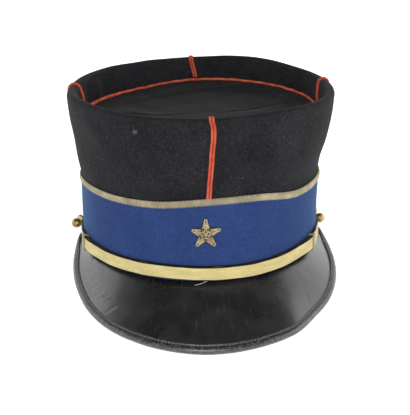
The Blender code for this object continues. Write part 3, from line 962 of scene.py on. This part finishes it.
PEAK_STEPS = 460
PEAK_ROWS = 64
UNDER_ROWS = 14
CREASES = table(
    "turn share to_turn to_share deep",
    (-47.0, 0.78, -43.0, 0.50, 0.22), (-50.5, 0.70, -47.0, 0.46, 0.26),
    (-43.5, 0.72, -40.0, 0.55, 0.22), (-54.0, 0.60, -50.0, 0.40, 0.15),
    (-38.0, 0.90, -34.0, 0.62, 0.16), (-58.0, 0.78, -55.0, 0.55, 0.20), (36.0, 0.86, 39.0, 0.60, 0.14),
    (12.0, 0.94, 17.0, 0.78, 0.12),
)


def pressed(turn, share):
    """Depth of the short creases at a turn and share of the reach."""
    deep = 0.0
    for crease in CREASES:
        along = (crease["share"] - share) / (crease["share"] - crease["to_share"])
        if -0.1 < along < 1.1:
            line = crease["turn"] + (crease["to_turn"] - crease["turn"]) * along
            fade = soften(along / 0.3 + 0.2) * soften((1 - along) / 0.3 + 0.2)
            valley = exp(-((turn - line) / 0.55) ** 2)
            brow = 0.6 * exp(-((turn - line - 1.3) / 0.8) ** 2)
            deep += crease["deep"] * fade * (valley - brow)
    return deep


def peak():
    sections, run = [], [0.0]
    for i in range(PEAK_STEPS + 1):
        turn = -PEAK_ARC + 2 * PEAK_ARC * i / PEAK_STEPS
        sheet = peak_frame(turn)
        root, n, full, slope = sheet
        core = full - GAP - BINDING_THICK
        back = root - n * (GAP + BAND_THICK + WALL)
        drop = Vector((0.0, 0.0, -PEAK_THICK))
        top = []
        for k in range(PEAK_ROWS + 1):
            share = k / PEAK_ROWS
            point = peak_point(sheet, share, 0.0, core)
            swell = noise.noise(point / 26.0) * 0.16 + noise.noise(point / 9.0) * 0.05 - pressed(turn, share)
            top.append(point + square_off(sheet) * swell * sin(pi * share))
        under = [peak_point(sheet, 1 - k / UNDER_ROWS, -PEAK_THICK, core) for k in range(UNDER_ROWS)]
        bend = root - n * (PEAK_THICK * tan(slope / 2)) + drop
        sections.append([back] + top + under + [bend, back + drop])
        if i:
            a, b = sections[-2][1 + PEAK_ROWS // 2], sections[-1][1 + PEAK_ROWS // 2]
            run.append(run[-1] + (b - a).length)
    across = lengths(sections[PEAK_STEPS // 2], True)
    work = Work()
    work.loft(sections, run, across, pick=lambda i, k: 0 if k <= PEAK_ROWS else 1)
    work.make("peak_leather", [PATENT, UNDER_PEAK], "peak")


# Section of the edging, from its inner lip over the roll and round to the underside.
# in_from is the distance in from the peak's outer edge, over the height off the peak's top.
EDGING = table(
    "in_from over",
    (5.80, 0.05), (5.78, 0.50), (5.50, 0.92), (5.05, 1.02), (4.72, 0.80), (4.40, 0.52), (4.05, 0.55),
    (3.72, 0.86), (3.30, 1.16), (2.70, 1.34), (2.00, 1.38), (1.30, 1.22), (0.70, 0.95), (0.20, 0.45),
    (-0.08, -0.30), (-0.15, -1.20), (-0.12, -2.00), (0.04, -2.65), (0.45, -3.02), (1.60, -3.10),
    (3.60, -3.10), (4.10, -2.90), (4.60, -3.10), (5.50, -3.05), (5.75, -2.40), (1.00, -2.15),
    (1.00, 0.15),
)
OUTER_ROW = 14
GROOVE_IN = 4.25
STITCH_PITCH = 2.4
STITCH_LONG = 1.5


def edging_point(sheet, in_from, over):
    full = sheet[2]
    squeeze = min(1.0, 0.5 * full / BINDING_LIP)
    return peak_point(sheet, 1 - in_from * squeeze / full, over)


def edging_turns(in_from, over, end, pitch):
    """Turns whose points on the edging lie a pitch apart."""
    return evenly(lambda t: edging_point(peak_frame(t), in_from, over), -end, end, pitch)


def edging():
    work = Work()
    sections = []
    for turn in edging_turns(0.0, 0.0, PEAK_ARC, 0.6):
        row = []
        sheet = peak_frame(turn)
        spot = peak_point(sheet, 1.0, 0.0)
        worn = 0.10 * noise.noise(spot / 5.0) + 0.05 * noise.noise(spot / 1.7)
        for line in EDGING:
            point = edging_point(sheet, line["in_from"], line["over"])
            if 0.0 < line["in_from"] < 4.0 and line["over"] > 0.3:
                point += square_off(sheet) * worn
            if line["in_from"] < 0.3:
                point += down_slope(sheet) * worn * 0.6
            row.append(point)
        sections.append(row)
    run = lengths([s[OUTER_ROW] for s in sections])
    work.loft(sections, run, lengths(sections[len(sections) // 2], True))
    chance = random.Random(5)
    for turn in edging_turns(GROOVE_IN, 0.6, PEAK_ARC - 1.5, STITCH_PITCH):
        here = edging_point(peak_frame(turn), GROOVE_IN, 0.0)
        near = edging_point(peak_frame(turn + 0.4), GROOVE_IN, 0.0)
        per_turn = (near - here).length / 0.4
        away = square_off(peak_frame(turn))
        slack = chance.uniform(-0.12, 0.12)
        path, radii = [], []
        for k in range(9):
            t = -1.0 + k / 4
            lift = 0.52 + 0.42 * sqrt(max(0.0, 1 - t * t))
            sheet = peak_frame(turn + t * STITCH_LONG / 2 / per_turn)
            path.append((edging_point(sheet, GROOVE_IN + slack + 0.16 * t, lift), away))
            radii.append(0.12 + 0.40 * sqrt(max(0.0, 1 - t ** 4)))
        work.strand(path, radii, 8, 1)
    work.make("peak_edging", [BINDING, STITCH], "peak_binding", 60.0)


# Chin strap: black leather with a raised gold lace, its slides and its free ends
RIB_STEPS = 32
OVER_LOW = STRAP_THICK + GAP


def strap_z(turn):
    return between(STRAP_LINE, "turn", "z", turn)


def strap_wide(turn):
    """The lower length narrows toward its buttons."""
    taper = soften((abs(turn) - TAPER_FROM) / (BUTTON_TURN - TAPER_FROM))
    return STRAP_WIDE - (STRAP_WIDE - STRAP_END_WIDE) * taper


def strap_stand(turn):
    """How far the strap's inner face stands off the crown's side."""
    stand = GAP + BAND_THICK + GAP
    for slide_turn in (SLIDE_LEFT, SLIDE_RIGHT):
        stand += SLIDE_LIFT * soften(1.6 - abs(turn - slide_turn) / 8.0)
    past = max(0.0, (abs(turn) - BUTTON_TURN - 1.5) / (TAB_END - BUTTON_TURN - 1.5))
    return stand + TAB_CURL * past ** 1.5


def strap_section(turn, wide, low, high, layer):
    deg = turn - 90.0
    slack = 0.16 * uneven(turn / 4.5, layer, 0.0)
    tilt = 0.20 * uneven(turn / 7.0, layer, 8.0)
    drift = 0.22 * uneven(turn / 8.0, layer, 4.0)
    stand = strap_stand(turn) + (slack if layer > 1 else slack * 0.3)
    half = wide(turn) / 2
    ending = max(0.0, (abs(turn) - TAB_END + 2.4) / 2.4)
    half *= sqrt(max(0.06, 1 - ending ** 2))
    z = strap_z(turn) + drift
    lace = max(0.3, half - LACE_MARGIN)
    leather = high - 0.12
    edge = [(-half, low), (-half, low + 0.6 * (high - low)), (-half + 0.2, leather), (-lace - 0.06, leather)]
    rows = list(edge)
    for k in range(RIB_STEPS + 1):
        v = -lace + 2 * lace * k / RIB_STEPS
        rib = 0.5 - 0.5 * cos(tau * v / RIB_PITCH)
        shoulder = min(1.0, 6.0 * (1 - abs(v) / lace) + 0.2)
        rows.append((v, high + 0.02 + (0.10 * rib + 0.08) * shoulder))
    rows += [(-v, out) for v, out in reversed(edge)]
    return [wall(deg, z + v, stand + out + tilt * v / half) for v, out in rows], [v for v, _ in rows]


def strap(name, first, last, wide, low, high, layer, node):
    work = Work()
    sections, across = [], None
    values = evenly(lambda t: side(t - 90.0, 6.0, strap_stand(t)), first, last, 1.0)
    for turn in values:
        section, across = strap_section(turn, wide, low, high, layer)
        sections.append(section)
    run = lengths([s[len(s) // 2] for s in sections])
    work.loft(sections, run, across + [across[0]], pick=lambda i, k: 1 if 4 <= k < len(across) - 5 else 0)
    work.make(name, [STRAP_LEATHER, LACE], node, 60.0)


def slide(name, turn, node):
    """A narrow lace loop round both lengths of the strap."""
    deg = turn - 90.0
    n = outward(deg)
    along = n.cross(UP)
    middle = side(deg, strap_z(turn), strap_stand(turn))
    tall = STRAP_WIDE / 2 + SLIDE_PLAY + SLIDE_THICK / 2
    low = -SLIDE_PLAY - SLIDE_THICK / 2
    high = OVER_LOW + OVER_THICK + SLIDE_PLAY + SLIDE_THICK / 2
    corner = 0.8
    corners = ((high - corner, tall - corner), (low + corner, tall - corner),
               (low + corner, corner - tall), (high - corner, corner - tall))
    path = []
    for quarter, (deep, level) in enumerate(corners):
        for k in range(7):
            angle = 0.5 * pi * (quarter + k / 6)
            away = n * cos(angle) + UP * sin(angle)
            path.append((middle + n * deep + UP * level + away * corner, away))
    half = SLIDE_WIDE / 2
    thick = SLIDE_THICK / 2
    shares = [-1.0 + k / 8 for k in range(17)]
    sections = []
    for point, away in path:
        row = []
        for v in shares:
            rib = 0.09 * (0.5 - 0.5 * cos(tau * v * half / 0.9))
            row.append(point + along * (v * half) + away * (thick * min(1.0, 5 * (1 - abs(v)) + 0.3) + rib))
        row.append(point + along * half * 0.98 - away * thick)
        row.append(point - along * half * 0.98 - away * thick)
        sections.append(row)
    across = [half * v for v in shares] + [half, -half, -half]
    work = Work()
    work.loft(sections, lengths([p for p, _ in path], True), across, ring=True)
    work.make(name, [OLD_LACE], node, 60.0)


# Ball buttons, turned with a foot collar
BALL_ROWS = 28
BALL_SIDES = 48


def button(name, turn, node):
    deg = turn - 90.0
    n = outward(deg)
    along = n.cross(UP)
    base = side(deg, strap_z(turn), strap_stand(turn) + STRAP_THICK + GAP)
    low = -asin(sqrt(1 - (BALL_NECK / BALL) ** 2))
    middle = BALL_NECK_TALL - BALL * sin(low)
    profile = [(COLLAR, 0.0), (COLLAR + 0.1, 0.15), (COLLAR, 0.30), (COLLAR * 0.86, 0.40), (BALL_NECK, 0.48),
               (BALL_NECK * 0.96, BALL_NECK_TALL)]
    for k in range(1, BALL_ROWS):
        angle = low + (pi / 2 - low) * k / BALL_ROWS
        seam = 1 - 0.012 * exp(-((angle - 0.02) / 0.03) ** 2)
        profile.append((BALL * seam * cos(angle), middle + BALL * seam * sin(angle)))
    work = Work()
    work.loft([circle(base + n * high, along, UP, radius, BALL_SIDES) for radius, high in profile])
    work.make(name, [BRASS], node, 40.0)


# Star worked in bullion on a dark thread edge
STAR_TIPS = table(
    "turn reach",
    (0.0, 1.00), (72.0, 0.95), (144.0, 0.96), (216.0, 0.96), (288.0, 0.87),
)


def star_point(across, tall, out):
    per_degree = HALF_WIDTH * pi / 180
    z = STAR_HEIGHT + tall
    return wall(270.0 + (STAR_SHIFT + across) / per_degree, z, GAP + BAND_THICK + GAP + out)


def ray(turn, far):
    """Spot this far from the star's middle at a turn from its top."""
    t = radians(turn)
    return (far * sin(t), far * cos(t))


def star_strand(work, chance, start, stop, radius, low, high):
    """One coil of bullion from start to stop, laid in an arc between two heights."""
    far = sqrt((stop[0] - start[0]) ** 2 + (stop[1] - start[1]) ** 2)
    count = max(6, int(far / 0.13))
    path, radii = [], []
    bow = chance.uniform(-0.15, 0.15)
    for k in range(count + 1):
        t = k / count
        x = start[0] + (stop[0] - start[0]) * t + bow * sin(pi * t) * (stop[1] - start[1]) / far
        y = start[1] + (stop[1] - start[1]) * t - bow * sin(pi * t) * (stop[0] - start[0]) / far
        out = low + (high - low) * (1 - t) ** 1.3
        coil = 0.5 + 0.5 * cos(tau * t * far / 0.52)
        close = min(1.0, 0.35 + 5.0 * min(t, 1 - t))
        path.append((star_point(x, y, out), outward(270.0)))
        radii.append(radius * close * (0.86 + 0.14 * coil))
    work.strand(path, radii, 7, 0, chance.uniform(0, 5))


def star():
    work = Work()
    chance = random.Random(23)
    outline = []
    for arm, tip in enumerate(STAR_TIPS):
        t = radians(tip["turn"])
        reach = STAR_RADIUS * tip["reach"]
        waist = STAR_RADIUS * STAR_WAIST
        ahead = (sin(t), cos(t))
        across = (cos(t), -sin(t))

        def spot(far, wide):
            return (ahead[0] * far + across[0] * wide, ahead[1] * far + across[1] * wide)

        base_far = waist * cos(pi / 5)
        base_wide = waist * sin(pi / 5)
        for part in (-1, 1):
            for row, share in enumerate((0.72, 0.26)):
                wide = base_wide * share * part
                stop = spot(reach * (0.98 - 0.22 * row), 0.36 * part)
                back = spot(base_far * (0.95 - 0.50 * row), wide)
                star_strand(work, chance, back, stop, 0.44 - 0.06 * row, 0.35, 0.80 + 0.60 * row)
            outline.append([spot(reach * 1.04, 0.0), spot(base_far * 0.98, base_wide * 1.12 * part)])
    for turn in (36.0, 108.0, 180.0, 252.0, 324.0):
        star_strand(work, chance, ray(turn, 0.5), ray(turn, 3.5), 0.34, 0.7, 1.7)
    for turn in turns(7):
        star_strand(work, chance, ray(turn, 1.1), ray(turn, -0.44), 0.28, 1.9, 1.5)
    ring = []
    for k in range(25):
        a = tau * k / 24
        ring.append((star_point(0.95 * cos(a), 5.6 + 1.15 * sin(a), 1.55), outward(270.0)))
    work.strand(ring, [0.44 - 0.05 * (k % 2) for k in range(25)], 7, 0)
    for start, stop in outline:
        path = []
        for k in range(17):
            x = start[0] + (stop[0] - start[0]) * k / 16
            y = start[1] + (stop[1] - start[1]) * k / 16
            path.append((star_point(x, y, 0.12), outward(270.0)))
        work.strand(path, [0.40] * 17, 6, 1)
    ground = []
    for out in (0.0, 0.30):
        row = []
        for k in range(10):
            tip = STAR_TIPS[k // 2]
            far = STAR_RADIUS * (tip["reach"] * 0.97 if k % 2 == 0 else STAR_WAIST)
            row.append(star_point(*ray(tip["turn"] + 36.0 * (k % 2), far), out))
        ground.append(row)
    work.loft(ground, pick=1)
    work.make("star_bullion", [BULLION, DARK_THREAD], "star", 80.0)


# Lint on the crown, a small tuft at its front left, and a loose thread on the peak
LINT_COUNT = 620
TUFT_COUNT = 34
TUFT_DEG = 240.0
TUFT_HIGH = 102.0


def fibre(work, chance, deg, z, far, radius, out):
    """A short bent hair on the crown's side."""
    n = outward(deg)
    level = UP.cross(n)
    heading = chance.uniform(0, tau)
    bend = chance.uniform(-1.6, 1.6)
    path = []
    spot = wall(deg, z) + n * out
    for k in range(6):
        path.append((spot.copy(), n))
        angle = heading + bend * k / 5
        spot += (level * cos(angle) + UP * sin(angle)) * (far / 5)
    work.strand(path, [radius * (0.5 if k in (0, 5) else 1.0) for k in range(6)], 4)


def lint():
    work = Work()
    chance = random.Random(41)
    for _ in range(LINT_COUNT):
        deg = chance.uniform(0.0, 360.0)
        z = chance.uniform(braid_z(deg) + 4.0, rim_z(deg) - 4.0)
        far = chance.uniform(0.3, 1.5)
        radius = chance.uniform(0.03, 0.06)
        fibre(work, chance, deg, z, far, radius, chance.uniform(0.02, 0.15))
    work.make("crown_lint", [LINT], "crown", instead=False)
    tuft = Work()
    for _ in range(TUFT_COUNT):
        deg = TUFT_DEG + chance.gauss(0.0, 0.35)
        z = TUFT_HIGH + chance.gauss(0.0, 0.5)
        far = chance.uniform(0.8, 2.2)
        fibre(tuft, chance, deg, z, far, 0.055, chance.uniform(0.05, 0.7))
    tuft.make("crown_tuft", [LINT], "crown", instead=False)


def loose_thread():
    work = Work()
    path = []
    for k in range(15):
        t = k / 14
        turn = -6.0 + 5.4 * t
        sheet = peak_frame(turn)
        path.append((peak_point(sheet, 0.050 - 0.045 * t, 0.16 + 1.5 * t ** 2), square_off(sheet)))
    work.strand(path, [0.16] * 15, 6)
    work.make("loose_thread", [PALE_THREAD], "peak", instead=False)


crown()
top_cloth()
band()
braid()
piping("soutache_front", 270.0, FRONT_SWAY, 0.0, "piping_front")
piping("soutache_back", 91.0, STRAIGHT, -3.4, "piping_back")
piping("soutache_left", 172.5, STRAIGHT, 0.0, "piping_left")
piping("soutache_right", 9.0, STRAIGHT, 0.0, "piping_right")
top_cord()
peak()
edging()
strap("strap_lower", -TAB_END, TAB_END, strap_wide, 0.0, STRAP_THICK, 1, "strap_under")
strap("strap_upper", OVER_LEFT, OVER_RIGHT, lambda turn: OVER_WIDE,
      OVER_LOW, OVER_LOW + OVER_THICK, 2, "strap_over")
slide("slide_loop_left", SLIDE_LEFT, "slide_left")
slide("slide_loop_right", SLIDE_RIGHT, "slide_right")
button("ball_left", -BUTTON_TURN, "button_left")
button("ball_right", BUTTON_TURN, "button_right")
star()
lint()
loose_thread()


# Floor, rising softly all round the cap
def floor():
    finish = Finish("pale floor", Emission_Strength=0.58)
    paper = finish.grain(180.0, 2.0)
    finish.feed(Base_Color=finish.mix(paper, (0.88, 0.88, 0.88), (0.90, 0.90, 0.90)),
                Emission_Color=finish.mix(paper, (1.0, 1.0, 1.0), (0.99, 0.99, 0.99)),
                Roughness=0.9 + 0.05 * paper)
    radius, rise, bend, sides = 5.5, 3.2, 1.0, 96
    middle = Vector((0.0, -2.5, 0.0))
    profile = [(radius - bend, 0.0)]
    for k in range(1, 13):
        angle = pi * k / 24
        profile.append((radius - bend + bend * sin(angle), bend - bend * cos(angle)))
    profile.append((radius, rise))
    corners = []
    for far, high in profile:
        corners += circle(middle + UP * high, Vector((1.0, 0.0, 0.0)), Vector((0.0, 1.0, 0.0)), far, sides)
    faces = [tuple(range(sides))]
    for r in range(len(profile) - 1):
        for k in range(sides):
            m = (k + 1) % sides
            faces.append((r * sides + k, r * sides + m, (r + 1) * sides + m, (r + 1) * sides + k))
    mesh = bpy.data.meshes.new("floor")
    mesh.from_pydata(corners, [], faces)
    mesh.materials.append(finish.look)
    mesh.polygons.foreach_set("use_smooth", [False] + [True] * (len(faces) - 1))
    add_object("floor", mesh)


floor()


# Light
def softbox(name, place, aim, wide, tall, watts):
    data = bpy.data.lights.new(name, "AREA")
    data.shape = "RECTANGLE"
    data.size = wide
    data.size_y = tall
    data.energy = watts
    lamp = add_object(name, data)
    lamp.location = place
    lamp.rotation_euler = (Vector(aim) - Vector(place)).to_track_quat("-Z", "Y").to_euler()


softbox("left softbox", (-2.10, 0.20, 1.00), (0.0, 0.0, 0.05), 2.2, 1.5, 8.0)
softbox("right softbox", (2.10, -0.20, 1.00), (0.0, 0.0, 0.05), 2.2, 1.5, 19.0)
softbox("front softbox", (-0.25, -2.2, 1.1), (0.0, 0.0, 0.05), 1.4, 0.8, 38.0)
softbox("top softbox", (0.1, -0.85, 2.0), (0.0, 0.0, 0.10), 1.6, 0.9, 2.5)

world = bpy.data.worlds.new("studio")
world.use_nodes = True
surround = world.node_tree.nodes["Background"].inputs
surround["Color"].default_value = (0.95, 0.97, 1.0, 1.0)
surround["Strength"].default_value = 0.08
bpy.context.scene.world = world
bpy.context.scene.view_settings.view_transform = "Standard"


# Camera, solved from the photograph in the cap's own frame
CAMERA_UP = 17.53
CAMERA_TURN = -3.19
CAMERA_ROLL = -0.85
CAMERA_FAR = 850.0
CAMERA_AIM = Vector((4.15, 0.0, 18.42))
FOCAL_SHARE = 1169.54 / 410.0
SENSOR = 36.0


def camera():
    rise, turn, roll = radians(CAMERA_UP), radians(CAMERA_TURN), radians(CAMERA_ROLL)
    back = Vector((sin(turn) * cos(rise), -cos(turn) * cos(rise), sin(rise)))
    right = Vector((cos(turn), sin(turn), 0.0))
    above = back.cross(right)
    level = cos(roll) * right + sin(roll) * above
    tall = -sin(roll) * right + cos(roll) * above
    basis = Matrix([turned @ level, turned @ tall, turned @ back]).transposed().to_4x4()
    data = bpy.data.cameras.new("camera")
    data.sensor_width = SENSOR
    data.sensor_fit = "HORIZONTAL"
    data.lens = SENSOR * FOCAL_SHARE
    data.clip_start = 0.05
    data.clip_end = 50.0
    view = add_object("camera", data)
    view.matrix_world = Matrix.Translation(to_row(CAMERA_AIM + back * CAMERA_FAR)) @ basis
    bpy.context.scene.camera = view


camera()
